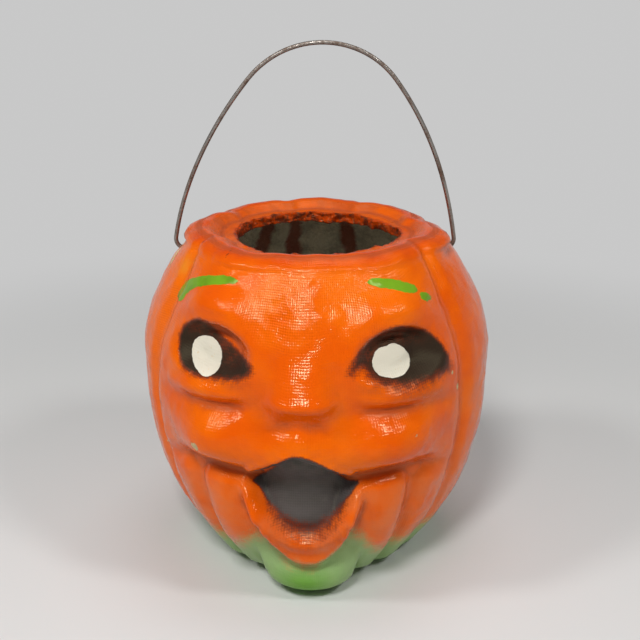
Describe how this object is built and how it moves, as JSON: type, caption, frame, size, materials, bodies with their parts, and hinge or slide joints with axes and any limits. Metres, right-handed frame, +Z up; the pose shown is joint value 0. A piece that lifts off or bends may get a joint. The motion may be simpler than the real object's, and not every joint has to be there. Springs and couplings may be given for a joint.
{
  "type": "pumpkin candy pail",
  "caption": "Hollow moulded pulp jack-o'-lantern pail with a sculpted smiling face, an open top, a flat base and a swinging wire bail to carry it by.",
  "frame": {"origin": "middle of the flat base, on the surface that the pail stands on, under the middle of the rim", "axes": "+Z up, the face looks along -Y, the bail's axis runs nearly along X, turned 4.3 degrees about Z"},
  "size_m": [0.1648, 0.1727, 0.2425],
  "materials": {
    "painted_pulp": "gloss orange paint over moulded pulp, with black, green and cream paint on the face",
    "bail_wire": "dull tarnished steel wire"
  },
  "bodies": {
    "pail": {"pulp_body": "painted_pulp"},
    "bail": {"wire_bail": "bail_wire"}
  },
  "joints": [
    {"name": "bail_swing", "type": "hinge", "parent": "pail", "child": "bail", "pos_m": [0, 0.018, 0.143], "axis": [0.9972, 0.075, 0], "range_deg": [-106, 56]}
  ]
}
